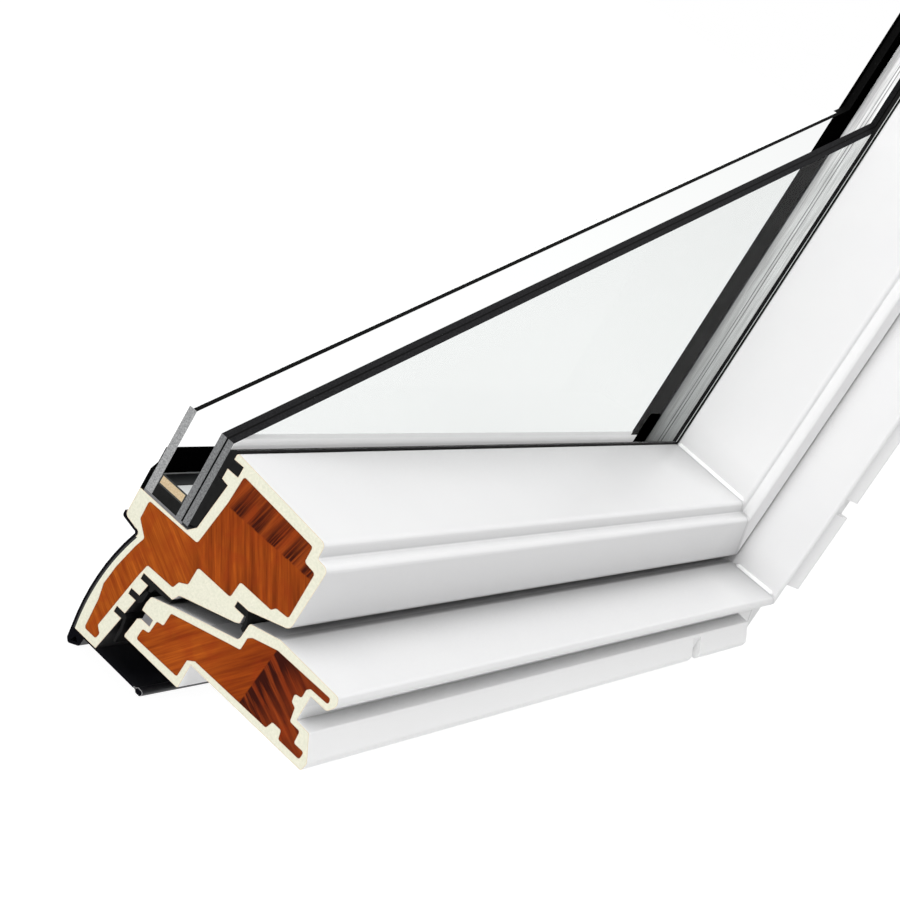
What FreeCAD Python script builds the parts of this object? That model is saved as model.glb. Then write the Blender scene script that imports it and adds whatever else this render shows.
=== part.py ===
import FreeCAD, Part
import math
import os

# Cutaway corner of a centre pivot roof window: the bottom left end is sawn across to show
# the timber cores in their moulded skins, and the side member rises at the right.
# Millimetres. +X along the bottom member towards the corner, +Y outwards, to the weather,
# +Z up the slope, in the plane of the glass. The origin is the middle of the flat sole
# that the frame is fixed by. Outlines are drawn in Y and Z from the sole's room-side edge.

# Lengths of the corner piece
bottom_length = 469.3
side_length = 440.0
side_ratio = 0.775

# Frame section
nose_height = 14.0
groove_width = 11.0
groove_depth = 12.0
groove_band = 8.6
frame_toe = 9.6
toe_run = 12.0
step_drop = 13.2
sole_depth = 61.5
heel_drop = 11.2
heel_spread = 1.5
clip_slot_height = 3.1
clip_slot_depth = 6.5
corner_gap_bottom = 34.0
corner_gap_side = 38.0
notch_width = 10.4
notch_depth = 4.4
notch_from_corner = 112.3
side_notch_height = 88.5

# Sash section
sash_setback = 32.0
sash_gap = 5.6
rail_height = 35.0
rail_rise = 4.4
rail_depth = 57.0
bead_height = 11.6
rib_setback = 7.4
leg_gap = 10.0
rebate_rise = 1.6
shoulder_cover = 17.0
heel_gap = 5.2
nose_drop = 12.8
apron_depth = 27.5
apron_drop = 24.0
apron_radius = 95.0
apron_tip = 2.7
skin = 4.0
apron_wall = 3.3
tail_wall = 5.1
tail_setout = 11.6

# Glass unit
gasket_thickness = 3.5
sheet_thickness = 3.0
interlayer_thickness = 0.8
cavity = 14.2
outer_pane_thickness = 4.0
packer_thickness = 1.2
gasket_height = 12.2
glass_show = 38.2
cut_rise = 201.0
side_strip = 18.7
edge_seal_height = 5.2
spacer_height = 4.6
spacer_wall = 0.7

# Sheet metal and rubber
lip_thickness = 2.0
lip_tip = 0.4
lip_height = 20.0
side_lip_height = 30.0
cover_thickness = 1.1
drip_depth = 7.0
drip_width = 10.8
flange_thickness = 0.7
flange_reach = 42.0
hem_thickness = 2.6
seal_slot = 2.7
seal_slot_depth = 4.4
middle_seal_drop = 5.9
outer_seal_drop = 16.0
room_slot_depth = 5.4
fin_thickness = 1.2
hanging_lip = 9.6
slip = 0.1

# Places that follow from the sizes above
frame_height = nose_height + groove_width + groove_band
terrace = frame_height - step_drop
frame_step = sash_setback + shoulder_cover
foot = frame_height + sash_gap
rail_top = foot + rail_height
shoulder = rail_top + rail_rise
rebate_y = sash_setback + rail_depth
rebate_z = foot + rebate_rise
glass_z = rebate_z + packer_thickness
room_sheet_y = rebate_y + gasket_thickness
interlayer_y = room_sheet_y + sheet_thickness
inner_sheet_y = interlayer_y + interlayer_thickness
cavity_y = inner_sheet_y + sheet_thickness
outer_pane_y = cavity_y + cavity
glass_out = outer_pane_y + outer_pane_thickness
nose_y = glass_out + lip_thickness
nose_z = rebate_z - nose_drop
frame_depth = nose_y - apron_depth
heel = frame_toe + heel_gap
apron_foot = -apron_drop
apron_centre = (apron_foot + heel_gap) / 2
cut_start = glass_z + glass_show
cut_end = cut_start + cut_rise
glass_edge_x = bottom_length - side_ratio * glass_z
strip_x = glass_edge_x - side_strip
reach = nose_y + glass_show

VIA = "via"


def rounded(points):
    """Closed wire through (a, b) or (a, b, radius) corners; ("via", a, b) bends a run into an arc."""
    flat = [p for p in points if p[0] != VIA]
    bent = {}
    count = 0
    for p in points:
        if p[0] == VIA:
            bent[count - 1] = FreeCAD.Vector(0, p[1], p[2])
        else:
            count += 1
    corners = []
    for i, p in enumerate(flat):
        here = FreeCAD.Vector(0, p[0], p[1])
        radius = p[2] if len(p) > 2 else 0.0
        before = FreeCAD.Vector(0, *flat[i - 1][:2]) - here
        after = FreeCAD.Vector(0, *flat[(i + 1) % len(flat)][:2]) - here
        if radius <= 0:
            corners.append((here, here, here))
            continue
        half = before.getAngle(after) / 2
        cut = min(radius / math.tan(half), 0.45 * before.Length, 0.45 * after.Length)
        before.normalize()
        after.normalize()
        inward = before + after
        inward.normalize()
        r = cut * math.tan(half)
        middle = here + inward * (r / math.sin(half) - r)
        corners.append((here + before * cut, middle, here + after * cut))
    edges = []
    for i, (start, middle, end) in enumerate(corners):
        if (end - start).Length > 1e-6:
            edges.append(Part.Arc(start, middle, end).toShape())
        following = corners[(i + 1) % len(corners)][0]
        if i in bent:
            edges.append(Part.Arc(end, bent[i], following).toShape())
        elif (following - end).Length > 1e-6:
            edges.append(Part.LineSegment(end, following).toShape())
    return Part.Wire(edges)


def soft(points, radius):
    """The same corners, each rounded by radius where the outline turns by more than a little."""
    out = []
    for i, p in enumerate(points):
        before = FreeCAD.Vector(p[0] - points[i - 1][0], p[1] - points[i - 1][1], 0)
        following = points[(i + 1) % len(points)]
        after = FreeCAD.Vector(following[0] - p[0], following[1] - p[1], 0)
        out.append((p[0], p[1], radius if before.getAngle(after) > math.radians(35) else 0.0))
    return out


def narrowed(points):
    """An outline for the side member, whose widths are side_ratio of the bottom's heights."""
    out = []
    for p in points:
        if p[0] == VIA:
            out.append((VIA, p[1], p[2] * side_ratio))
        else:
            out.append((p[0], p[1] * side_ratio) + tuple(p[2:]))
    return out


def face(outlines):
    """Face of the first outline, joined with the next ones."""
    result = Part.Face(rounded(outlines[0]))
    for more in outlines[1:]:
        result = result.fuse(Part.Face(rounded(more)))
    return result.removeSplitter()


def wedge(corners):
    """Block of the given X and Z corners, deeper than the window."""
    base = Part.makePolygon([FreeCAD.Vector(x, -reach, z) for x, z in corners + corners[:1]])
    return Part.Face(base).extrude(FreeCAD.Vector(0, 3 * reach, 0))


def mitre_x(z):
    """X of the mitre plane at a height."""
    return bottom_length - side_ratio * z


low = -reach
high = shoulder + reach
beyond = 20.0
BOTTOM_SIDE = wedge([(0, low), (mitre_x(low), low), (mitre_x(high), high), (0, high)])
RISING_SIDE = wedge([(mitre_x(low), low), (mitre_x(low), side_length), (mitre_x(high), side_length),
                     (mitre_x(high), high)])


def along_bottom(section):
    """Bottom member of a section drawn in Y and Z, mitred at the corner."""
    bar = section.extrude(FreeCAD.Vector(mitre_x(low), 0, 0))
    return bar.common(BOTTOM_SIDE)


def along_side(section):
    """Side member of a narrowed section, turned to run up Z and mitred at the corner."""
    turned = section.copy()
    turned.rotate(FreeCAD.Vector(0, 0, 0), FreeCAD.Vector(0, 1, 0), -90)
    turned.translate(FreeCAD.Vector(bottom_length, 0, low))
    bar = turned.extrude(FreeCAD.Vector(0, 0, side_length - low))
    return bar.common(RISING_SIDE)


def save(node, shape):
    """Write one node, moved so that the middle of the sole is the origin."""
    placed = shape.copy()
    placed.translate(FreeCAD.Vector(-sole_middle_x, -sole_middle_y, 0))
    if len(placed.Solids) == 1:
        placed = placed.Solids[0]
    placed.exportStep("parts/" + node + ".step")


def save_pair(name, outlines, holes=()):
    """Write the bottom and the side member of one section, with holes cut through it."""
    below = face(outlines)
    beside = face([narrowed(o) for o in outlines])
    for hole in holes:
        below = below.cut(Part.Face(rounded(hole)))
        beside = beside.cut(Part.Face(rounded(narrowed(hole))))
    save(name.replace("*", "bottom"), along_bottom(below))
    save(name.replace("*", "side"), along_side(beside))


# Frame outlines
groove_top = nose_height + groove_width
slot_floor = frame_depth - clip_slot_depth
slot_low = -0.4
slot_high = slot_low + clip_slot_height


def frame_outline():
    return [(0, 0, 1.2), (-0.6, 3.8, 2.0), (5.0, nose_height - 0.4, 1.0),
            (groove_depth, nose_height), (groove_depth, groove_top), (3.6, groove_top, 2.0),
            (1.0, groove_top + 4, 3.0), (2.4, frame_height - 1.2, 1.5),
            (sash_setback + 2, frame_height, 3.0),
            (frame_step - 0.4, terrace + 9.5, 1.2), (frame_step + 0.2, terrace + 1.4, 2.0),
            (frame_depth - toe_run, frame_toe + 3.5), (frame_depth - 0.8, frame_toe, 1.2),
            (frame_depth, frame_toe - 3.6), (frame_depth, slot_high),
            (slot_floor, slot_high), (slot_floor, slot_low), (frame_depth - 1.6, slot_low),
            (frame_depth, slot_low - 1.2),
            (frame_depth + heel_spread, -heel_drop, 0.8), (sole_depth, -heel_drop, 0.8),
            (sole_depth, 0)]


def frame_core_outline():
    back = groove_depth + 2.9
    block = frame_depth - 4.8
    return soft([(frame_depth - toe_run, frame_toe + 0.6), (frame_step + 3, terrace - 2.6),
                 (frame_step - 2.4, terrace - 1.2), (frame_step - 2.6, terrace + 4.4),
                 (frame_step - 4.4, terrace + 5.9), (sash_setback + 1, frame_height - 4),
                 (5.0, frame_height - 3.8), (4.4, groove_top + 2.4), (groove_depth + 1.6, groove_top + 2.2),
                 (back, groove_top + 0.8), (back, nose_height + 8), (back + 3.2, nose_height + 7.4),
                 (back + 2.6, nose_height + 4.2), (back + 0.3, nose_height + 3.2),
                 (groove_depth + 2, nose_height - 2.3), (groove_depth - 3.4, nose_height - 2.5),
                 (groove_depth - 3.8, nose_height - 7.7), (2.9, nose_height - 7.6), (3.0, 2.9),
                 (back - 0.6, 2.9), (back + 0.4, 6.5), (back + 5, 6.5), (back + 6.2, 2.9),
                 (sole_depth - 0.9, 2.4), (sole_depth + 2.4, 0.4), (sole_depth + 2.8, 3.4 - heel_drop),
                 (block + 0.8, 3.0 - heel_drop), (block + 0.4, slot_low - 2.8),
                 (slot_floor - 1.2, slot_low - 2.2), (slot_floor - 1.8, slot_high + 0.8),
                 (slot_floor - 5.2, slot_high + 1.4), (slot_floor - 5.4, frame_toe - 1)], 1.0)


# Sash outlines
seal_heights = {"inner": heel - seal_slot, "middle": frame_toe - middle_seal_drop,
                "outer": frame_toe - outer_seal_drop}
seal_setouts = {"inner": 3.0, "middle": 4.6, "outer": 6.4}
rest_slot_y = frame_step + 3.4
rest_slot_z = foot - 8.6
rest_slot_floor = rest_slot_y + room_slot_depth
gasket_slot_z = shoulder - 7.6
gasket_slot_height = 4.6
gasket_slot_depth = 5.2
gasket_foot_y = rebate_y - gasket_slot_depth
gasket_low = shoulder - gasket_height
land_y = rebate_y + 0.6


def apron_y(z, off):
    """Y of the curved apron at a height, off outside the moulded skin."""
    radius = apron_radius + off
    return nose_y - apron_tip - apron_radius + math.sqrt(radius ** 2 - (z - apron_centre) ** 2)


def apron_surface(off, start_z):
    """Weather face of the sash, down over its nose and the dip under it to the apron's foot."""
    dip_z = nose_z - 1.4 - off
    bend = 2.6 - off
    middle_z = (dip_z + apron_foot) / 2
    return [(nose_y + off, start_z), (nose_y + off, nose_z - off, 2.0 + off),
            (apron_y(dip_z, off) + bend, dip_z),
            (VIA, apron_y(dip_z, off) + 0.3 * bend, dip_z - 0.3 * bend),
            (apron_y(dip_z - bend, off), dip_z - bend), (VIA, apron_y(middle_z, off), middle_z),
            (apron_y(apron_foot, off), apron_foot)]


def seal_slot_corners(name):
    """The four corners of a rubber seal's slot in the sash's outer leg, from its lower edge."""
    z = seal_heights[name]
    y = frame_depth + seal_setouts[name]
    return [(y, z), (y + seal_slot_depth, z), (y + seal_slot_depth, z + seal_slot), (y - 0.4, z + seal_slot)]


def sash_outline():
    return (apron_surface(0, rebate_z) + [(frame_depth + leg_gap, apron_foot)]
            + seal_slot_corners("outer") + seal_slot_corners("middle") + seal_slot_corners("inner")[:3]
            + [(rebate_y - 6.5, heel, 1.0), (rebate_y - 8.2, heel + 3.4, 1.5),
               (frame_step + 5.5, terrace + 5.6), (rest_slot_y, terrace + 6.6, 0.8),
               (rest_slot_y, rest_slot_z), (rest_slot_floor, rest_slot_z),
               (rest_slot_floor, rest_slot_z + seal_slot), (rest_slot_y - 0.6, rest_slot_z + seal_slot),
               (sash_setback + 1, foot, 3.0), (sash_setback, rail_top - 7.0, 2.5),
               (sash_setback + 6, rail_top - 6.4, 0.8), (sash_setback + 6.2, rail_top, 2.4),
               (rebate_y, shoulder, 1.2), (rebate_y, shoulder - 3),
               (gasket_foot_y, gasket_slot_z + gasket_slot_height), (gasket_foot_y, gasket_slot_z),
               (land_y, gasket_slot_z), (land_y, gasket_low), (rebate_y - 3.0, gasket_low - 0.6),
               (rebate_y - 0.4, rebate_z + 3.6), (rebate_y + 3.0, rebate_z)])


def apron_core():
    """The core's outer side, which follows the curved apron from its tail up to the nose."""
    span = nose_z - apron_foot
    tail_z = apron_foot + skin - 0.8
    middle_z = apron_foot + 0.32 * span
    upper_zs = [apron_foot + share * span for share in (0.45, 0.63, 0.86, 0.96)]
    lower = [(apron_y(z, 0) - tail_wall, z) for z in (tail_z, middle_z)]
    return lower + [(apron_y(z, 0) - apron_wall, z) for z in upper_zs]


def sash_core_outline():
    inner = sash_setback + skin
    web_y = rebate_y - 9.4
    leg = frame_depth
    tail_y = leg + tail_setout
    outer = nose_y - 6.4
    rib_z = (shoulder + rebate_z) / 2
    bead_z = rail_top - bead_height
    return soft([(rebate_y - rib_setback, shoulder - 5.6), (inner + 6.2, rail_top - 4.2),
                 (inner + 6, bead_z + 0.8), (inner, bead_z), (inner, foot + 3.0), (inner + 6.4, foot + 2.6),
                 (inner + 8, foot + 0.7), (rest_slot_y + 8.4, foot + 0.7), (rest_slot_y + 9.0, foot - 6.8),
                 (web_y, foot - 6.8), (web_y + 0.2, heel + 9.4), (web_y + 4.2, heel + 7.4),
                 (web_y + 5.4, heel + 4.0), (leg + 7.6, heel + 3.6), (leg + 9.2, frame_toe + 1.8),
                 (tail_y + 2.6, apron_foot + 8.2), (tail_y, apron_foot + 6.0),
                 (tail_y + 0.6, apron_foot + skin - 0.8)] + apron_core()
                + [(outer - 0.4, nose_z + 3), (outer - 0.2, rebate_z - 1.6),
                   (rebate_y - rib_setback + 3.6, rebate_z - 1.1),
                   (rebate_y - rib_setback + 0.6, rib_z + 0.9)], 1.2)


# The sole spans the bottom member up to the open corner of its nose
sole_middle_x = (bottom_length - corner_gap_bottom) / 2
sole_middle_y = sole_depth / 2


def block(x, z, width, height, depth):
    """Block at the frame's room face, from beyond it in to a depth, for cutting the nose."""
    corner = FreeCAD.Vector(x, -beyond, z)
    return Part.makeBox(width, depth + beyond, height, corner)


def make_frame():
    nose_width = side_ratio * nose_height
    nose_x = bottom_length - nose_width
    gap_x = bottom_length - corner_gap_bottom
    outer_below = along_bottom(face([frame_outline()]))
    outer_beside = along_side(face([narrowed(frame_outline())]))
    core_below = along_bottom(face([frame_core_outline()]))
    core_beside = along_side(face([narrowed(frame_core_outline())]))

    # The noses stop short of the corner, and each has a locating notch a hand's width from it.
    # The cores keep a skin's thickness away from both.
    gap_width = corner_gap_bottom + beyond
    gap_height = corner_gap_side + beyond
    notch_x = bottom_length - notch_from_corner
    for extra in (0, skin):
        depth = groove_depth + extra
        low_depth = notch_depth + extra
        width = notch_width + 2 * extra
        cut_below = block(gap_x - extra, -beyond, gap_width, nose_height + beyond, depth)
        cut_beside = block(nose_x - extra, -beyond, nose_width + beyond, gap_height + extra, depth)
        notch_below = block(notch_x - extra, -beyond, width, nose_height + beyond, low_depth)
        notch_beside = block(nose_x, side_notch_height - extra, nose_width + beyond, width, low_depth)
        core_below = core_below.cut(cut_below).cut(notch_below)
        core_beside = core_beside.cut(cut_beside).cut(notch_beside)
        if not extra:
            outer_below = outer_below.cut(cut_below).cut(notch_below)
            outer_beside = outer_beside.cut(cut_beside).cut(notch_beside)

    save("frame_bottom_skin", outer_below.cut(core_below))
    save("frame_side_skin", outer_beside.cut(core_beside))
    save("frame_bottom_core", core_below)
    save("frame_side_core", core_beside)
    save_pair("frame_*_clip", [[(slot_floor, slot_low), (frame_depth - 2, slot_low),
                                (frame_depth - 2, slot_high - slip), (slot_floor, slot_high - slip)]])


def make_sash():
    save_pair("sash_*_skin", [sash_outline()], [sash_core_outline()])
    save_pair("sash_*_core", [sash_core_outline()])


def make_cover():
    """Sheet folded round the sash's nose and apron to a drip, then back under it to a hemmed edge."""
    start_z = nose_z + 1.4
    drip_z = apron_foot - drip_depth
    drip_y = nose_y - drip_width
    low_face = apron_foot - flange_thickness
    hem_y = nose_y - 4 - flange_reach
    hem_rise = (hem_thickness - flange_thickness) / 2
    outer = apron_surface(cover_thickness, start_z)
    inner = apron_surface(0, start_z)[::-1]
    drip = [(drip_y + 7.4, drip_z + 1.6, 1.4), (drip_y + 5.8, drip_z, 1.2), (drip_y + 0.4, drip_z + 2.4, 1.2),
            (drip_y, low_face)]
    hem = [(hem_y + 4, low_face), (hem_y + 3, low_face - hem_rise), (hem_y, low_face - hem_rise, 1.2),
           (hem_y, apron_foot + hem_rise, 1.2), (hem_y + 3, apron_foot + hem_rise), (hem_y + 4, apron_foot)]
    loop = [(drip_y + 5.4, drip_z + 1.5), (drip_y + 1.8, drip_z + 3.0), (drip_y + 4.0, drip_z + 4.8)]
    save_pair("sash_cover_*", [outer + drip + hem + inner], [loop])


def pane(y, thickness):
    """One sheet of glass, cut off slantwise and then beside the side member."""
    corners = [(0, glass_z), (glass_edge_x, glass_z), (glass_edge_x, side_length), (strip_x, side_length),
               (strip_x, cut_end), (0, cut_start)]
    base = Part.makePolygon([FreeCAD.Vector(x, y, z) for x, z in corners + corners[:1]])
    return Part.Face(base).extrude(FreeCAD.Vector(0, thickness, 0))


def across(y_low, y_high, z_low, z_high):
    """Corners of a plain strip in the section."""
    return [(y_low, z_low), (y_high, z_low), (y_high, z_high), (y_low, z_high)]


def make_glass():
    save("outer_pane", pane(outer_pane_y, outer_pane_thickness))
    save("inner_sheet_cavity", pane(inner_sheet_y, sheet_thickness))
    save("inner_sheet_interlayer", pane(interlayer_y, interlayer_thickness))
    save("inner_sheet_room", pane(room_sheet_y, sheet_thickness))
    seal_top = glass_z + edge_seal_height
    bar_top = seal_top + spacer_height
    wall = spacer_wall
    hollow = across(cavity_y + wall, outer_pane_y - wall, seal_top + wall, bar_top - wall)
    save_pair("glass_edge_seal_*", [across(cavity_y, outer_pane_y, glass_z, seal_top)])
    save_pair("spacer_bar_*", [across(cavity_y, outer_pane_y, seal_top, bar_top)], [hollow])
    save_pair("desiccant_*", [hollow])
    save_pair("glass_packer_*", [across(interlayer_y, glass_out, rebate_z, glass_z)])


def lip_outline(height):
    """Soft lip that stands on the nose and lies on the outer pane."""
    tip = rebate_z + height
    return [(glass_out, rebate_z), (nose_y, rebate_z), (nose_y, rebate_z + 0.45 * height, 1.0),
            (glass_out + lip_tip, rebate_z + 0.66 * height, 1.0), (glass_out + lip_tip, tip), (glass_out, tip)]


def gasket_outline():
    """Gasket between the inner pane and the sash, with a foot in the sash's slot."""
    slot_top = gasket_slot_z + gasket_slot_height
    return [(gasket_foot_y + slip, gasket_slot_z + slip), (land_y + slip, gasket_slot_z + slip),
            (land_y + slip, gasket_low), (room_sheet_y, gasket_low), (room_sheet_y, shoulder - 1.0),
            (rebate_y + slip, shoulder + 1.0, 0.8), (rebate_y + slip, slot_top - slip),
            (gasket_foot_y + slip, slot_top - slip)]


def backing_outline():
    """Soft strip that closes the rebate between the gasket and the foot of the inner pane."""
    return [(rebate_y - 0.3, rebate_z + 3.8), (room_sheet_y, rebate_z + 2.2), (room_sheet_y, gasket_low - slip),
            (rebate_y - 2.8, gasket_low - 0.8)]


def seal_foot(y, z, depth):
    """Foot of a rubber seal in a slot whose open lower corner is at y, z."""
    top = z + seal_slot - slip
    back = y + depth - slip
    return [(y - 1.6, z + slip), (back, z + slip, 0.9), (back, top, 0.9), (y - 0.6, top)]


def inner_seal_lip(y, z):
    top = z + seal_slot - slip
    return [(y - 0.6, top), (rebate_y - 6, heel - 0.3), (rebate_y - 6.6, heel - fin_thickness - 0.4),
            (y - 3.5, z + 0.8), (frame_depth + 0.4, frame_toe + 1.1), (frame_depth + 1.6, frame_toe + 0.7),
            (y - 1.0, z + slip)]


def middle_seal_lip(y, z):
    """Lip that bends round towards the frame's toe and up to the seal above it."""
    return [(y - 0.8, z + slip), (y - 0.4, z + seal_slot - slip), (frame_depth + 3.4, z + 3.4, 1.0),
            (frame_depth + 2.4, frame_toe + 0.5), (frame_depth + 2.4 - fin_thickness, frame_toe + 0.3),
            (frame_depth + 1.4, z + 1.8, 1.5), (frame_depth + 2.6, z + 0.2, 1.0)]


def outer_seal_lip(y, z):
    """Lip that hangs curved in the gap behind the apron."""
    return [(y - 0.6, z + seal_slot - slip), (frame_depth + 4.4, z + 1.6, 1.0),
            (frame_depth + 3.2, z - 4.6, 2.0),
            (frame_depth + 3.6, z - hanging_lip),
            (frame_depth + 3.6 + fin_thickness, z - hanging_lip + 0.2),
            (frame_depth + 4.8, z - 3.0, 2.0), (y - 1.0, z + slip)]


def lip_corner():
    """The side lip's thin web runs on past the mitre, down to the top of the bottom lip."""
    low_z = rebate_z + lip_height
    high_z = rebate_z + side_lip_height
    edge_x = mitre_x(high_z)
    corners = [(edge_x, low_z), (mitre_x(low_z), low_z), (edge_x, high_z)]
    base = Part.makePolygon([FreeCAD.Vector(x, glass_out, z) for x, z in corners + corners[:1]])
    return Part.Face(base).extrude(FreeCAD.Vector(0, lip_tip, 0))


def make_rubber():
    save("glass_lip_bottom", along_bottom(face([lip_outline(lip_height)])))
    side_lip = along_side(face([narrowed(lip_outline(side_lip_height))]))
    save("glass_lip_side", side_lip.fuse(lip_corner()).removeSplitter())
    save_pair("glazing_gasket_*", [gasket_outline()])
    save_pair("rebate_strip_*", [backing_outline()])
    lips = {"inner": inner_seal_lip, "middle": middle_seal_lip, "outer": outer_seal_lip}
    for name, lip in lips.items():
        z = seal_heights[name]
        y = frame_depth + seal_setouts[name]
        save_pair("seal_" + name + "_*", [seal_foot(y, z, seal_slot_depth), lip(y, z)])
    rest_lip = [(rest_slot_y - 0.4, rest_slot_z + seal_slot - slip), (frame_step + 0.6, terrace + 8.6),
                (frame_step + 0.2, terrace + 4.6, 0.6), (frame_step + 1.8, terrace + 5.2, 0.6),
                (frame_step + 2.4, rest_slot_z + slip), (rest_slot_y, rest_slot_z + slip)]
    save_pair("seal_room_*", [seal_foot(rest_slot_y, rest_slot_z, room_slot_depth), rest_lip])


os.makedirs("parts", exist_ok=True)
make_frame()
make_sash()
make_cover()
make_glass()
make_rubber()
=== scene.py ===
import math

import bpy
from mathutils import Matrix, Vector

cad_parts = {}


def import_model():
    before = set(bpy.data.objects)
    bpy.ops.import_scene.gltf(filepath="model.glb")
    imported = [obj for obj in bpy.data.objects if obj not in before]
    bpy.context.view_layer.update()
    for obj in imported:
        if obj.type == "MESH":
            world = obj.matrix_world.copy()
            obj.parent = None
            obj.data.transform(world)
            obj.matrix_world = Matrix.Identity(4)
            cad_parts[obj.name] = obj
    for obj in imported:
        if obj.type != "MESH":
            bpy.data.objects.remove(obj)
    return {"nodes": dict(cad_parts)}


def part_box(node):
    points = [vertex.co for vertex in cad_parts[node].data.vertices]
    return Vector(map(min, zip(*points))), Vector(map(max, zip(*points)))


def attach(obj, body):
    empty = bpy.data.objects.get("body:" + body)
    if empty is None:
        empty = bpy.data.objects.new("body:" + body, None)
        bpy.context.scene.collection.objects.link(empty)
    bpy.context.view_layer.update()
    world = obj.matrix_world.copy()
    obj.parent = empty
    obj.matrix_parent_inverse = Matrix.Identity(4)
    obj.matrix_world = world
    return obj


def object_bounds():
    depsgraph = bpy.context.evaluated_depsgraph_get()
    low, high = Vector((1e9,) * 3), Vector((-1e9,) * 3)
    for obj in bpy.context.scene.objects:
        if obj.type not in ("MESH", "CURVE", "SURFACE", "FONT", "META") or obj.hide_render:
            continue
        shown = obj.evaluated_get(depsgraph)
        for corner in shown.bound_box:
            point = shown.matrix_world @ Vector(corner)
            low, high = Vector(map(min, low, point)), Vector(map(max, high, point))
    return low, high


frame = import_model()
cad_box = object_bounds()

MM = 0.001
NODES = frame["nodes"]
CUT_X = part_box("sash_bottom_skin")[0][0]
TOP_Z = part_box("sash_side_skin")[1][2]
LOW_Z = cad_box[0][2]
CUT_MARGIN = 0.05 * MM

# The drawing's zero is the sole's room-side edge at the saw cut. Millimetres from there to the origin
SOLE_MIDDLE = Vector((217.65, 30.75, 0.0))

# The mitre's plane: X falls by the side ratio as Z rises, from the corner at sole height
SIDE_RATIO = 0.775
CORNER_X = cad_box[1][0] + SIDE_RATIO * LOW_Z
# Painted shadow line next to the bead, and painted shade either side of the mitre, in metres from the
# mitre's plane
MITRE_SHADOW_LINE = (-3.6 * MM, -2.4 * MM)
MITRE_SHADE = (14.0 * MM, 1.0 * MM)

# Zones of the moulded skin where shade or light is painted, outwards and up from the origin
SASH_FACE_Y = (-3.0 * MM, 12.0 * MM)
SASH_FACE_FOOT = 38.0 * MM
FRAME_FACE_TOP = 20.0 * MM
SHADE_FOOT = 29.0 * MM
GAP_SHADE_Y = (6.0 * MM, 60.0 * MM)
GAP_SHADE_Z = (18.0 * MM, 60.0 * MM)
BEHIND_APRON_Y = (60.9 * MM, 73.0 * MM)
BEHIND_APRON_TOP = 16.0 * MM

# How far the skin's shade looks for nearby faces, and how wide the rims at sawn edges are
GAP_REACH = 50.0 * MM
GROOVE_REACH = 20.0 * MM
FOAM_RIM = 1.0 * MM
TIMBER_RIM = 0.8 * MM
HEM_RIM = 0.5 * MM

# Depths of the bumps in foam and in everything else
FOAM_BUMP = 0.2 * MM
FINE_BUMP = 0.1 * MM

# The apron's arc, with the sheet cover's dark line just inside it
NOSE_Y = 119.5
APRON_TIP = 2.7
APRON_RADIUS = 95.0
APRON_CENTRE = ((NOSE_Y - APRON_TIP - APRON_RADIUS - SOLE_MIDDLE.y) * MM, -9.4 * MM)
APRON_FOAM = (APRON_RADIUS - 0.9) * MM
NOSE_FOOT = 24.0 * MM

# Timber: glue lines, where the strokes fade, where the ring directions change, and the directions
# in degrees from outwards to upwards
SASH_GLUE_LINE = 59.7 * MM
FRAME_GLUE_LINE = 5.6 * MM
GLUE_WIDTH = 0.6 * MM
GROUP_SPACING = 9.4 * MM
GROUP_START = 62.5 * MM
STROKE_TOP = 84.0 * MM
STROKE_FULL = 66.0 * MM
STROKES_FAINT = 24.0 * MM
STROKES_CLEAR = 6.0 * MM
SASH_SPLIT = (26.0 * MM, 40.0 * MM)
FRAME_SPLIT = (12.0 * MM, 30.0 * MM)
SASH_OUTER_RINGS = 28.0
SASH_INNER_RINGS = 55.0
SASH_STRIP_RINGS = 104.0
FRAME_RINGS = 129.0
FRAME_STRIP_RINGS = 24.0

# Glass: the room sheet's painted reflection along its foot, the inner sheets' dull corners, the slant's
# bright edge
REFLECTION_STRIP_Z = (77.6 * MM, 82.3 * MM)
REFLECTION_STRIP_END = 138.0 * MM
ROOM_DULL = (138.0 * MM, 96.0 * MM)
CAVITY_DULL = (152.0 * MM, 91.0 * MM)
ARRIS_END = 28.0 * MM

# Spacer bars, with a painted dim reflection low on the side bar, the glazing gasket with painted light along
# its upper edge, and the hem of the sheet cover
SPACER_BRIGHT = 6.0 * MM
SPACER_LINE = 0.7 * MM
SPACER_CORNER = 0.8 * MM
SPACER_JOINTS = ((-1.5 * MM, -0.8 * MM), (0.2 * MM, 0.8 * MM))
SPACER_REFLECTION_DIM = 70.0 * MM
SPACER_REFLECTION_FULL = 190.0 * MM
GASKET_PAINTED_LIGHT = 79.0 * MM
HEM_DEPTH = 5.0 * MM

# Lacquer beads in the inside mitres, from the drawing's zero, outwards and up in millimetres
SASH_MITRE = ((88.6, 78.3), (39.5, 74.0))
FRAME_MITRE = ((31.5, 33.4), (4.5, 32.4))
BEAD_RADIUS = 1.5 * MM
BEAD_OUT = 0.5 * MM
BEAD_SIDES = 12
BEAD_TIP = 0.2
OPEN_SIDE = Vector((-1.0, -0.1, 1.0)).normalized()

# Colours that more than one material uses
WHITE = (1, 1, 1, 1)
BLACK_RUBBER = ((0.004, 0.004, 0.004, 1), (0.014, 0.014, 0.014, 1))
LATE_WOOD = (0.030, 0.0035, 0.0015, 1)
PATCH_WOOD = (0.30, 0.036, 0.005, 1)
FINE_WOOD = (0.11, 0.013, 0.002, 1)
WOOD_RIM = (0.05, 0.008, 0.003, 1)

# Camera of the photograph, in millimetres and pixels
PHOTO = 900.0
FOCAL_PIXELS = 1830.6
SENSOR = 36.0
CAMERA_AT = Vector((-545.0, -241.4, 321.55)) - SOLE_MIDDLE
CAMERA_RIGHT = Vector((0.50529, -0.70782, 0.49363))
CAMERA_UP = Vector((0.01178, 0.57763, 0.81621))

# Stage and light
WORLD_LEVEL = 0.26
FLOOR_HALF = 6.0
FLOOR_DROP = 0.001
FLOOR_GLOW = 1.265
FLOOR_GLOW_SHARE = 0.75
LAMP_TARGET = Vector((0.0, 0.0, 0.1))


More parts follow.
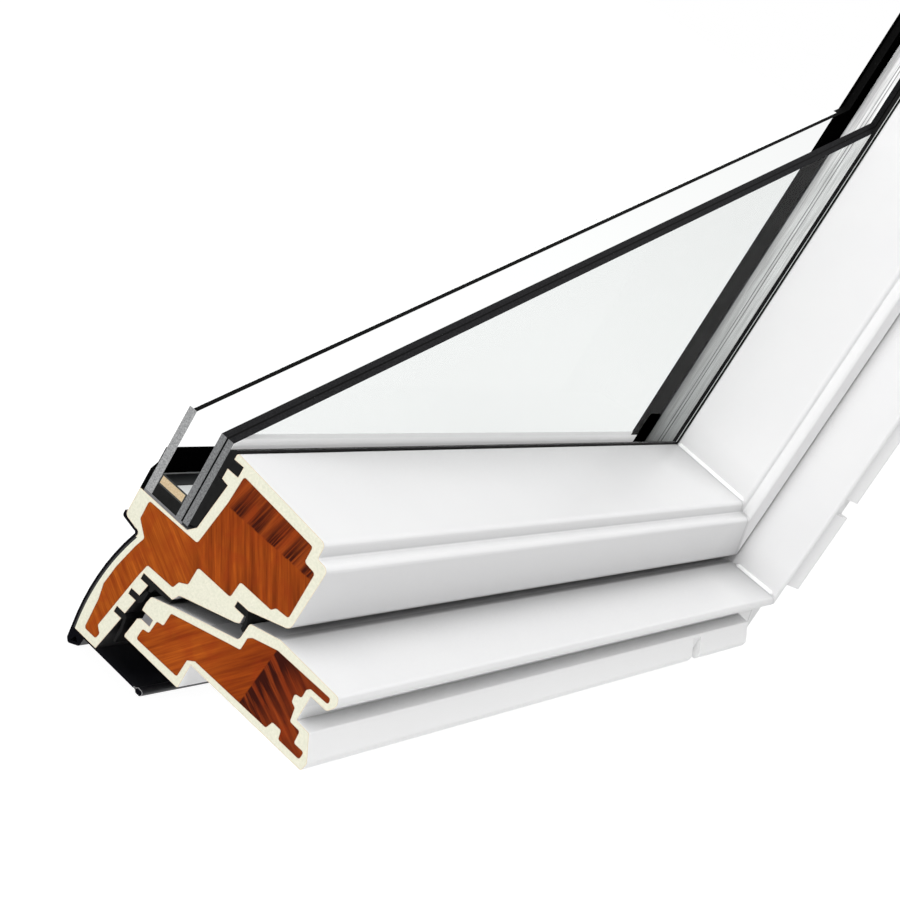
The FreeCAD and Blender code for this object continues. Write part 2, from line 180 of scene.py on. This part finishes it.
class Graph:
    """A material's node tree, with short calls that make and join its nodes."""

    def __init__(self, name):
        self.material = bpy.data.materials.new(name)
        self.material.use_nodes = True
        self.tree = self.material.node_tree
        self.shader = self.tree.nodes["Principled BSDF"]
        self.output = self.tree.nodes["Material Output"]
        coordinates = self.tree.nodes.new("ShaderNodeTexCoord")
        self.place = coordinates.outputs["Object"]
        self.x, self.y, self.z = self.parts(self.place)

    def join(self, value, socket):
        """Link an output to a socket, or set the socket's own value."""
        if isinstance(value, bpy.types.NodeSocket):
            self.tree.links.new(value, socket)
        else:
            socket.default_value = value

    def parts(self, vector):
        """The three parts of a vector."""
        split = self.tree.nodes.new("ShaderNodeSeparateXYZ")
        self.join(vector, split.inputs[0])
        return split.outputs

    def vector(self, *values):
        """A vector of up to three values."""
        joined = self.tree.nodes.new("ShaderNodeCombineXYZ")
        for value, socket in zip(values, joined.inputs):
            self.join(value, socket)
        return joined.outputs[0]

    def math(self, operation, a, b=0.0):
        node = self.tree.nodes.new("ShaderNodeMath")
        node.operation = operation
        self.join(a, node.inputs[0])
        self.join(b, node.inputs[1])
        return node.outputs[0]

    def plus(self, a, b):
        return self.math("ADD", a, b)

    def minus(self, a, b):
        return self.math("SUBTRACT", a, b)

    def both(self, *amounts):
        """Product of the amounts, so 1 where all of them are 1."""
        total = amounts[0]
        for amount in amounts[1:]:
            total = self.math("MULTIPLY", total, amount)
        return total

    def rest_of(self, amount):
        return self.minus(1.0, amount)

    def above(self, value, limit):
        """1 where a value is over the limit."""
        return self.math("GREATER_THAN", value, limit)

    def below(self, value, limit):
        """1 where a value is under the limit."""
        return self.math("LESS_THAN", value, limit)

    def band(self, value, low, high):
        """1 where a value lies between low and high."""
        return self.both(self.above(value, low), self.below(value, high))

    def ramp(self, value, low, high):
        """0 at low to 1 at high, and no further either way."""
        node = self.tree.nodes.new("ShaderNodeMapRange")
        self.join(value, node.inputs["Value"])
        node.inputs["From Min"].default_value = low
        node.inputs["From Max"].default_value = high
        return node.outputs["Result"]

    def mix(self, amount, a, b):
        """Colour a, with an amount of colour b."""
        node = self.tree.nodes.new("ShaderNodeMix")
        node.data_type = "RGBA"
        self.join(amount, node.inputs["Factor"])
        self.join(a, node.inputs["A"])
        self.join(b, node.inputs["B"])
        return node.outputs["Result"]

    def either(self, amount, a, b):
        """Shader a, with an amount of shader b."""
        node = self.tree.nodes.new("ShaderNodeMixShader")
        self.join(amount, node.inputs[0])
        self.join(a, node.inputs[1])
        self.join(b, node.inputs[2])
        return node.outputs[0]

    def noise(self, scale, detail=3.0, rough=0.5, vector=None, distortion=0.0):
        node = self.tree.nodes.new("ShaderNodeTexNoise")
        self.join(vector or self.place, node.inputs["Vector"])
        node.inputs["Scale"].default_value = scale
        node.inputs["Detail"].default_value = detail
        node.inputs["Roughness"].default_value = rough
        node.inputs["Distortion"].default_value = distortion
        return node.outputs["Fac"]

    def streak(self, height, angle, along, across, detail, shift):
        """Noise drawn out along a direction in the section, angle degrees from outwards to upwards."""
        turn = math.radians(angle)
        lengthways = self.plus(self.both(self.y, math.cos(turn)), self.both(height, math.sin(turn)))
        sideways = self.plus(self.both(self.y, -math.sin(turn)), self.both(height, math.cos(turn)))
        drawn = self.vector(self.both(lengthways, along), self.both(sideways, across), shift)
        return self.noise(1.0, detail, 0.55, drawn)

    def openness(self, reach):
        """1 in the open and less in grooves and gaps, looking as far as reach."""
        node = self.tree.nodes.new("ShaderNodeAmbientOcclusion")
        node.samples = 6
        node.inputs["Distance"].default_value = reach
        return node.outputs["AO"]

    def rim(self, radius):
        """1 at a piece's sharp edges, falling to 0 a radius away from them."""
        bevel = self.tree.nodes.new("ShaderNodeBevel")
        bevel.samples = 6
        bevel.inputs["Radius"].default_value = radius
        geometry = self.tree.nodes.new("ShaderNodeNewGeometry")
        product = self.tree.nodes.new("ShaderNodeVectorMath")
        product.operation = "DOT_PRODUCT"
        self.join(bevel.outputs["Normal"], product.inputs[0])
        self.join(geometry.outputs["True Normal"], product.inputs[1])
        return self.ramp(product.outputs["Value"], 0.985, 0.80)

    def facing_out(self):
        """How far a face looks outwards: 1 on the weather side, -1 on the room side."""
        geometry = self.tree.nodes.new("ShaderNodeNewGeometry")
        return self.parts(geometry.outputs["True Normal"])[1]

    def sawn(self):
        """1 on the faces that the saw cut, at the bottom member's left end and the side's top."""
        left = self.below(self.x, CUT_X + CUT_MARGIN)
        top = self.above(self.z, TOP_Z - CUT_MARGIN)
        return self.math("MAXIMUM", left, top)

    def bump(self, height, strength, distance):
        node = self.tree.nodes.new("ShaderNodeBump")
        node.inputs["Strength"].default_value = strength
        node.inputs["Distance"].default_value = distance
        self.join(height, node.inputs["Height"])
        self.join(node.outputs[0], self.shader.inputs["Normal"])

    def surface(self, colour, roughness, **more):
        self.join(colour, self.shader.inputs["Base Color"])
        self.join(roughness, self.shader.inputs["Roughness"])
        for name, value in more.items():
            self.join(value, self.shader.inputs[name.replace("_", " ")])


# White skin over cream foam

def lacquer_white(g):
    """White lacquer with painted shade on the sash face, the mitre, the grooves, the gap and behind the
    apron, and painted light low on the frame face.
    """
    cloud = g.ramp(g.noise(18.0, 2.0), 0.3, 0.7)
    white = g.mix(cloud, (0.86, 0.86, 0.865, 1), (0.88, 0.88, 0.88, 1))
    from_mitre = g.plus(g.minus(g.x, CORNER_X), g.both(g.z, SIDE_RATIO))
    on_bottom = g.below(from_mitre, 0.0)

    facing = g.facing_out()
    # Painted shade: the sash's room face is darker than the rest of the lacquer
    sash_face_shade = g.both(g.below(facing, -0.9), g.band(g.y, *SASH_FACE_Y), g.above(g.z, SASH_FACE_FOOT))
    white = g.mix(sash_face_shade, white, (0.81, 0.81, 0.815, 1))
    # Painted light: the frame's low room face is lighter than the rest of the lacquer
    frame_face_light = g.both(g.below(facing, -0.5), g.below(g.z, FRAME_FACE_TOP), on_bottom)
    white = g.mix(frame_face_light, white, (0.95, 0.95, 0.95, 1))

    # Painted shade either side of the mitre, and a painted shadow line next to the bead
    mitre_side_shade = g.both(g.ramp(g.math("ABSOLUTE", from_mitre), *MITRE_SHADE), 0.25)
    mitre_shadow_line = g.band(from_mitre, *MITRE_SHADOW_LINE)
    white = g.mix(g.math("MAXIMUM", mitre_side_shade, mitre_shadow_line), white, (0.60, 0.60, 0.605, 1))

    shade = g.both(g.ramp(g.openness(GAP_REACH), 0.85, 0.35), g.above(g.z, SHADE_FOOT), on_bottom)
    white = g.mix(g.both(shade, 0.55), white, (0.16, 0.16, 0.163, 1))
    # Painted shade: the gap between sash and frame is painted grey
    gap_shade = g.both(g.band(g.y, *GAP_SHADE_Y), g.band(g.z, *GAP_SHADE_Z), on_bottom)
    white = g.mix(gap_shade, white, (0.46, 0.46, 0.465, 1))
    # Painted shade in narrow grooves, outside the gap zone
    crevice_shade = g.both(g.ramp(g.openness(GROOVE_REACH), 0.43, 0.12), g.rest_of(gap_shade))
    white = g.mix(g.both(crevice_shade, 0.90), white, (0.17, 0.17, 0.173, 1))

    # Painted deep shade: the faces behind the apron are painted nearly black
    behind = g.both(g.band(g.y, *BEHIND_APRON_Y), g.below(g.z, BEHIND_APRON_TOP))
    return g.mix(g.both(behind, 0.96), white, (0.012, 0.012, 0.013, 1))


def foam_cream(g, speck):
    """Cream foam, warmer at its rims, and dark where the sheet cover lies on the apron."""
    cream = g.mix(g.ramp(speck, 0.3, 0.75), (0.70, 0.70, 0.56, 1), (0.86, 0.84, 0.70, 1))
    cream = g.mix(g.both(g.rim(FOAM_RIM), 0.55), cream, (0.74, 0.46, 0.26, 1))
    across = g.math("POWER", g.minus(g.y, APRON_CENTRE[0]), 2.0)
    up = g.math("POWER", g.minus(g.z, APRON_CENTRE[1]), 2.0)
    from_centre = g.math("SQRT", g.plus(across, up))
    under_sheet = g.both(g.above(from_centre, APRON_FOAM), g.below(g.z, NOSE_FOOT))
    return g.mix(under_sheet, cream, (0.006, 0.006, 0.006, 1))


def moulded_skin():
    """White lacquered foam skin, cream where it is sawn."""
    g = Graph("moulded_skin")
    speck = g.noise(900.0, 4.0, 0.7)
    sawn = g.sawn()
    g.surface(g.mix(sawn, lacquer_white(g), foam_cream(g, speck)), g.plus(g.both(sawn, 0.3), 0.38))
    g.bump(g.both(speck, sawn), 0.25, FOAM_BUMP)
    return g.material


# Timber, drawn in the section's own outward and upward directions

def height_of(g, member):
    """Height in the section: up for the bottom member, and in from the corner for the side."""
    if member == "bottom":
        return g.z
    return g.math("DIVIDE", g.minus(CORNER_X, g.x), SIDE_RATIO)


def wood_body(g, height, angle, shift, dark, light):
    """Softwood with fine darker and lighter streaks along its rings."""
    broad = g.ramp(g.streak(height, angle, 30.0, 420.0, 3.0, shift), 0.30, 0.70)
    fine = g.ramp(g.streak(height, angle, 60.0, 1500.0, 4.0, shift + 3.0), 0.40, 0.72)
    colour = g.mix(broad, dark + (1,), light + (1,))
    patch = g.ramp(g.noise(110.0, 2.0, distortion=0.6), 0.45, 0.65)
    colour = g.mix(g.both(patch, 0.4), colour, PATCH_WOOD)
    return g.mix(g.both(fine, 0.42), colour, FINE_WOOD)


def finish_timber(g, colour):
    """Dark rim, dull surface and fibres."""
    fibre = g.noise(2600.0, 2.0)
    colour = g.mix(g.both(g.rim(TIMBER_RIM), 0.75), colour, WOOD_RIM)
    g.surface(colour, 0.7, Specular_IOR_Level=0.06)
    g.bump(fibre, 0.15, FINE_BUMP)
    return g.material


def sash_timber(member):
    """Two ring directions either side of the rebate, and a strip with strokes above the glue line."""
    g = Graph("sash_timber_" + member)
    height = height_of(g, member)
    outer = wood_body(g, height, SASH_OUTER_RINGS, 1.0, (0.26, 0.044, 0.003), (0.50, 0.112, 0.010))
    inner = wood_body(g, height, SASH_INNER_RINGS, 2.0, (0.17, 0.026, 0.002), (0.42, 0.080, 0.007))
    split = g.ramp(g.plus(g.y, g.both(height, -0.55)), *SASH_SPLIT)
    body = g.mix(split, inner, outer)
    strip = wood_body(g, height, SASH_STRIP_RINGS, 7.0, (0.15, 0.020, 0.003), (0.36, 0.068, 0.009))

    leaned = g.plus(g.y, g.both(height, 0.2))
    turns = g.math("DIVIDE", g.minus(leaned, GROUP_START), GROUP_SPACING)
    off_centre = g.math("ABSOLUTE", g.minus(g.math("FRACT", turns), 0.5))
    groups = g.ramp(off_centre, 0.42, 0.20)
    lines = g.ramp(g.streak(height, SASH_STRIP_RINGS, 40.0, 1000.0, 3.0, 16.0), 0.34, 0.52)
    fade = g.ramp(g.plus(height, g.both(g.noise(160.0, 2.0), 0.008)), STROKE_TOP, STROKE_FULL)
    strip = g.mix(g.both(groups, lines, fade, 0.95), strip, LATE_WOOD)

    edge = g.plus(height, g.both(g.noise(300.0, 2.0), 0.0008))
    chosen = g.ramp(edge, SASH_GLUE_LINE, SASH_GLUE_LINE + GLUE_WIDTH)
    return finish_timber(g, g.mix(chosen, body, strip))


def frame_timber(member):
    """Rings on a slant, and a strip with very dark strokes on the room side of the glue line."""
    g = Graph("frame_timber_" + member)
    height = height_of(g, member)
    far = wood_body(g, height, FRAME_RINGS, 4.0, (0.24, 0.038, 0.003), (0.48, 0.100, 0.009))
    near = wood_body(g, height, FRAME_RINGS, 5.0, (0.17, 0.022, 0.002), (0.37, 0.066, 0.005))
    body = g.mix(g.ramp(g.y, *FRAME_SPLIT), near, far)
    strip = wood_body(g, height, FRAME_STRIP_RINGS, 9.0, (0.10, 0.012, 0.003), (0.30, 0.050, 0.008))

    tilted = g.plus(g.y, g.both(height, 0.09))
    lines = g.ramp(g.streak(height, FRAME_STRIP_RINGS, 30.0, 430.0, 3.0, 7.0), 0.41, 0.54)
    fade = g.ramp(tilted, FRAME_GLUE_LINE - STROKES_FAINT, FRAME_GLUE_LINE - STROKES_CLEAR)
    strip = g.mix(g.both(lines, fade, 0.97), strip, LATE_WOOD)
    chosen = g.ramp(tilted, FRAME_GLUE_LINE, FRAME_GLUE_LINE - GLUE_WIDTH)
    return finish_timber(g, g.mix(chosen, body, strip))


# Glass unit

def clear(name, tint, ends, slant, shine, arris=None, foot=False, dull=None):
    """Clear sheet seen through its faces, with matt sawn ends and a matt slanted edge.

    arris gives the end and the middle of a slant whose weather half is bright, foot adds a painted
    reflection, a pale strip along the foot that glows faintly, and dull gives the place and height
    right of which and below which the sheet mirrors nothing.
    """
    g = Graph(name)
    edge = g.below(g.math("ABSOLUTE", g.facing_out()), 0.5)
    speck = g.ramp(g.noise(1300.0, 4.0, 0.7), 0.3, 0.7)
    slanted = g.mix(speck, *slant)
    if arris:
        bright = g.both(g.above(g.y, arris[1]), g.below(g.x, arris[0]))
        slanted = g.mix(bright, slanted, (0.95, 0.96, 0.955, 1))
    colour = g.mix(g.sawn(), slanted, g.mix(speck, *ends))
    solid = edge
    if foot:
        # Painted reflection: a pale strip along the foot that glows faintly
        strip = g.both(g.band(g.z, *REFLECTION_STRIP_Z), g.below(g.x, REFLECTION_STRIP_END))
        reflection_band = g.both(strip, g.rest_of(edge))
        colour = g.mix(reflection_band, colour, (0.92, 0.92, 0.92, 1))
        g.join(g.both(reflection_band, 0.13), g.shader.inputs["Emission Strength"])
        solid = g.math("MAXIMUM", edge, g.both(strip, 0.90))
    if dull:
        shine = g.both(g.rest_of(g.both(g.above(g.x, dull[0]), g.below(g.z, dull[1]))), shine)
    g.surface(colour, 0.5, Specular_IOR_Level=0.02)

    through = g.tree.nodes.new("ShaderNodeBsdfTransparent")
    through.inputs["Color"].default_value = tint
    gloss = g.tree.nodes.new("ShaderNodeBsdfGlossy")
    gloss.inputs["Roughness"].default_value = 0.02
    geometry = g.tree.nodes.new("ShaderNodeNewGeometry")
    front = g.rest_of(geometry.outputs["Backfacing"])
    sheet = g.either(g.both(front, shine), through.outputs[0], gloss.outputs[0])
    g.join(g.either(solid, sheet, g.shader.outputs[0]), g.output.inputs["Surface"])
    return g.material


def glaze():
    """Materials of the four sheets."""
    grey = ((0.09, 0.093, 0.095, 1), (0.29, 0.295, 0.30, 1))
    pale_grey = ((0.16, 0.163, 0.165, 1), (0.50, 0.505, 0.51, 1))
    dark = ((0.007, 0.007, 0.008, 1), (0.024, 0.024, 0.025, 1))
    black = ((0.002, 0.002, 0.002, 1), (0.007, 0.007, 0.007, 1))
    outer_tint = (0.955, 0.960, 0.958, 1)
    inner_tint = (0.960, 0.964, 0.962, 1)
    low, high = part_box("outer_pane")
    arris = (high[0] - ARRIS_END, (low[1] + high[1]) / 2)
    paint(["outer_pane"], clear("outer_glass", outer_tint, pale_grey, black, 0.0, arris))
    paint(["inner_sheet_cavity"], clear("inner_glass", inner_tint, grey, dark, 0.05, dull=CAVITY_DULL))
    paint(["inner_sheet_room"], clear("room_glass", inner_tint, grey, dark, 0.05, foot=True, dull=ROOM_DULL))
    paint(["inner_sheet_interlayer"], clear("interlayer", WHITE, black, black, 0.0))


def bottom_spacer():
    """Dark bar with a bright room-side half and a bright line at its outer corner."""
    g = Graph("spacer_bottom")
    low, high = (corner[1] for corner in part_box("spacer_bar_bottom"))
    bright = g.math("MAXIMUM", g.below(g.y, low + SPACER_BRIGHT), g.above(g.y, high - SPACER_CORNER))
    top = g.mix(bright, (0.022, 0.024, 0.025, 1), (0.85, 0.86, 0.85, 1))
    line = g.band(g.y, low + SPACER_BRIGHT, low + SPACER_BRIGHT + SPACER_LINE)
    top = g.mix(line, top, (0.004, 0.004, 0.004, 1))
    sawn = g.sawn()
    g.surface(g.mix(sawn, top, (0.006, 0.007, 0.007, 1)), 0.35, Metallic=g.rest_of(sawn))
    return g.material


def side_spacer():
    """Brushed bar with fine lines lengthways, two dark joints along its middle, and a painted dim reflection
    low down.
    """
    g = Graph("spacer_side")
    middle = sum(corner[1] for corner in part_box("spacer_bar_side")) / 2
    drawn = g.vector(g.both(g.y, 1500.0), g.both(g.z, 30.0))
    lines = g.ramp(g.noise(1.0, 3.0, 0.6, drawn), 0.35, 0.65)
    # Painted dim reflection: the bar is darker low down
    metal = g.mix(g.ramp(g.z, SPACER_REFLECTION_DIM, SPACER_REFLECTION_FULL), (0.50, 0.51, 0.51, 1), WHITE)
    metal = g.mix(g.both(lines, 0.40), metal, (0.12, 0.12, 0.12, 1))
    joints = g.plus(*(g.band(g.y, middle + low, middle + high) for low, high in SPACER_JOINTS))
    metal = g.mix(g.both(joints, 0.6), metal, (0.05, 0.05, 0.05, 1))
    g.surface(metal, 0.4, Metallic=1.0)
    return g.material


# Rubber, sheet metal and plain materials

def plain(name, low, high, roughness, scale=400.0, bump=0.1, shine=0.5):
    """A material of one colour with fine mottling and a light bump."""
    g = Graph(name)
    speck = g.noise(scale, 3.0, 0.6)
    g.surface(g.mix(speck, low, high), roughness, Specular_IOR_Level=shine)
    g.bump(speck, bump, FINE_BUMP)
    return g.material


def gasket_rubber(member):
    """Black rubber with painted light, a pale band along its upper edge."""
    g = Graph("gasket_rubber_" + member)
    speck = g.noise(400.0, 3.0, 0.6)
    # Painted light: a pale band along the gasket's upper edge
    pale = g.both(g.above(height_of(g, member), GASKET_PAINTED_LIGHT), g.rest_of(g.sawn()))
    colour = g.mix(pale, g.mix(speck, *BLACK_RUBBER), (0.62, 0.625, 0.625, 1))
    g.surface(colour, 0.5, Specular_IOR_Level=0.06)
    g.bump(speck, 0.1, FINE_BUMP)
    return g.material


def black_sheet():
    """Coated sheet, bare and bright at the sawn edge of its hem."""
    g = Graph("black_sheet")
    speck = g.noise(900.0, 3.0, 0.6)
    coat = g.mix(speck, (0.0035, 0.0035, 0.005, 1), (0.007, 0.007, 0.009, 1))
    sawn = g.sawn()
    hem = g.both(sawn, g.below(g.y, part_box("sash_cover_bottom")[0][1] + HEM_DEPTH))
    colour = g.mix(g.both(hem, g.rim(HEM_RIM)), coat, (0.8, 0.8, 0.8, 1))
    g.surface(colour, 0.3, Specular_IOR_Level=g.both(g.rest_of(sawn), 0.3))
    g.bump(speck, 0.1, FINE_BUMP)
    return g.material


def grey_of(level):
    """Grey of a level from 0 to 1."""
    return (level, level, level, 1)


def paint(nodes, material):
    """Give CAD nodes their material."""
    for name in nodes:
        mesh = NODES[name].data
        mesh.materials.clear()
        mesh.materials.append(material)


def named(*words):
    """CAD nodes with one of the words in their name."""
    return [n for n in NODES if any(w in n for w in words)]


def dress():
    """Give every CAD node its material, and add the beads."""
    paint(named("_skin"), moulded_skin())
    for member in ("bottom", "side"):
        paint(["glazing_gasket_" + member], gasket_rubber(member))
        paint(["sash_" + member + "_core"], sash_timber(member))
        paint(["frame_" + member + "_core"], frame_timber(member))
    glaze()
    paint(named("seal_", "rebate_strip"), plain("black_rubber", *BLACK_RUBBER, 0.5, shine=0.06))
    paint(named("glass_lip"), plain("lip_rubber", grey_of(0.001), grey_of(0.003), 0.5, shine=0.0))
    paint(named("sash_cover"), black_sheet())
    paint(["spacer_bar_bottom"], bottom_spacer())
    paint(["spacer_bar_side"], side_spacer())
    grains = ((0.38, 0.25, 0.12, 1), (0.82, 0.68, 0.46, 1))
    paint(named("desiccant"), plain("desiccant", *grains, 0.8, scale=1800.0, bump=0.6, shine=0.1))
    paint(named("clip", "packer"), plain("grey_plastic", (0.10, 0.10, 0.105, 1), (0.2, 0.2, 0.21, 1), 0.5))
    # The beads are painted whiter than the skin, a painted highlight along the inside mitres
    lacquer = plain("bead_highlight", grey_of(0.95), grey_of(0.98), 0.35)
    bead("sash_mitre_bead", SASH_MITRE, lacquer)
    bead("frame_mitre_bead", FRAME_MITRE, lacquer)


def bead(name, ends, material):
    """Thin round bead between two points of the section, with narrowed ends."""
    start, stop = (Vector((CORNER_X - SIDE_RATIO * z * MM, (y - SOLE_MIDDLE.y) * MM, z * MM))
                   + OPEN_SIDE * BEAD_OUT for y, z in ends)
    along = (stop - start).normalized()
    across = along.cross(OPEN_SIDE).normalized()
    outward = across.cross(along)
    rings = ((start, BEAD_TIP), (start + along * BEAD_RADIUS, 1.0),
             (stop - along * BEAD_RADIUS, 1.0), (stop, BEAD_TIP))
    points = []
    for centre, share in rings:
        for i in range(BEAD_SIDES):
            turn = 2 * math.pi * i / BEAD_SIDES
            spoke = across * math.cos(turn) + outward * math.sin(turn)
            points.append(centre + spoke * BEAD_RADIUS * share)
    last = (len(rings) - 1) * BEAD_SIDES
    faces = [tuple(range(BEAD_SIDES))[::-1], tuple(range(last, last + BEAD_SIDES))]
    for ring in range(len(rings) - 1):
        for i in range(BEAD_SIDES):
            a = ring * BEAD_SIDES + i
            b = ring * BEAD_SIDES + (i + 1) % BEAD_SIDES
            faces.append((a, b, b + BEAD_SIDES, a + BEAD_SIDES))
    mesh = bpy.data.meshes.new(name)
    mesh.from_pydata(points, [], faces)
    for polygon in mesh.polygons:
        polygon.use_smooth = True
    mesh.materials.append(material)
    piece = bpy.data.objects.new(name, mesh)
    bpy.context.collection.objects.link(piece)
    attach(piece, "root")


# Camera, light and stage

def camera():
    """The photograph's camera."""
    data = bpy.data.cameras.new("camera")
    data.sensor_width = SENSOR
    data.lens = FOCAL_PIXELS / PHOTO * SENSOR
    data.clip_start = 0.01
    eye = bpy.data.objects.new("camera", data)
    back = CAMERA_RIGHT.cross(CAMERA_UP)
    turn = Matrix((CAMERA_RIGHT, CAMERA_UP, back)).transposed()
    eye.matrix_world = Matrix.Translation(CAMERA_AT * MM) @ turn.to_4x4()
    bpy.context.collection.objects.link(eye)
    bpy.context.scene.camera = eye


def seen_directly(tree):
    """1 for the rays that show the background: from the camera, a reflection or through glass."""
    paths = tree.nodes.new("ShaderNodeLightPath")
    total = paths.outputs["Is Camera Ray"]
    for name in ("Is Glossy Ray", "Is Transmission Ray"):
        larger = tree.nodes.new("ShaderNodeMath")
        larger.operation = "MAXIMUM"
        tree.links.new(total, larger.inputs[0])
        tree.links.new(paths.outputs[name], larger.inputs[1])
        total = larger.outputs[0]
    return total


def world():
    """Plain light all round, seen as white."""
    sky = bpy.data.worlds.new("world")
    sky.use_nodes = True
    tree = sky.node_tree
    lit = tree.nodes["Background"]
    seen = tree.nodes.new("ShaderNodeBackground")
    for background, strength in ((lit, WORLD_LEVEL), (seen, 1.0)):
        background.inputs["Strength"].default_value = strength
        background.inputs["Color"].default_value = WHITE
    mix = tree.nodes.new("ShaderNodeMixShader")
    tree.links.new(seen_directly(tree), mix.inputs[0])
    tree.links.new(lit.outputs[0], mix.inputs[1])
    tree.links.new(seen.outputs[0], mix.inputs[2])
    tree.links.new(mix.outputs[0], tree.nodes["World Output"].inputs["Surface"])
    bpy.context.scene.world = sky


def lamp(name, place, size, power):
    """Round lamp that points at the lower middle of the part."""
    data = bpy.data.lights.new(name, "AREA")
    data.shape = "DISK"
    data.size = size
    data.energy = power
    light = bpy.data.objects.new(name, data)
    light.location = place
    light.rotation_euler = (LAMP_TARGET - Vector(place)).to_track_quat("-Z", "Y").to_euler()
    bpy.context.collection.objects.link(light)


def floor():
    """Pale floor under the part, nearly white where it is seen, that keeps the shadow."""
    mesh = bpy.data.meshes.new("floor")
    z = LOW_Z - FLOOR_DROP
    corners = ((-1, -1), (1, -1), (1, 1), (-1, 1))
    mesh.from_pydata([(x * FLOOR_HALF, y * FLOOR_HALF, z) for x, y in corners], [], [(0, 1, 2, 3)])
    ground = bpy.data.objects.new("floor", mesh)
    bpy.context.collection.objects.link(ground)
    material = bpy.data.materials.new("floor")
    material.use_nodes = True
    tree = material.node_tree
    matte = tree.nodes["Principled BSDF"]
    matte.inputs["Base Color"].default_value = grey_of(0.85)
    matte.inputs["Roughness"].default_value = 0.9
    glow = tree.nodes.new("ShaderNodeEmission")
    glow.inputs["Strength"].default_value = FLOOR_GLOW
    share = tree.nodes.new("ShaderNodeMath")
    share.operation = "MULTIPLY"
    share.inputs[1].default_value = FLOOR_GLOW_SHARE
    mix = tree.nodes.new("ShaderNodeMixShader")
    tree.links.new(seen_directly(tree), share.inputs[0])
    tree.links.new(share.outputs[0], mix.inputs[0])
    tree.links.new(matte.outputs[0], mix.inputs[1])
    tree.links.new(glow.outputs[0], mix.inputs[2])
    tree.links.new(mix.outputs[0], tree.nodes["Material Output"].inputs["Surface"])
    mesh.materials.append(material)


dress()
camera()
world()
floor()
lamp("overhead", (-0.2, 0.3, 2.2), size=1.2, power=13.0)
lamp("key", (-0.6, -0.9, 2.0), size=1.2, power=21.0)
lamp("fill", (-2.0, -0.2, 0.6), size=1.0, power=17.0)
bpy.context.scene.view_settings.view_transform = "Standard"
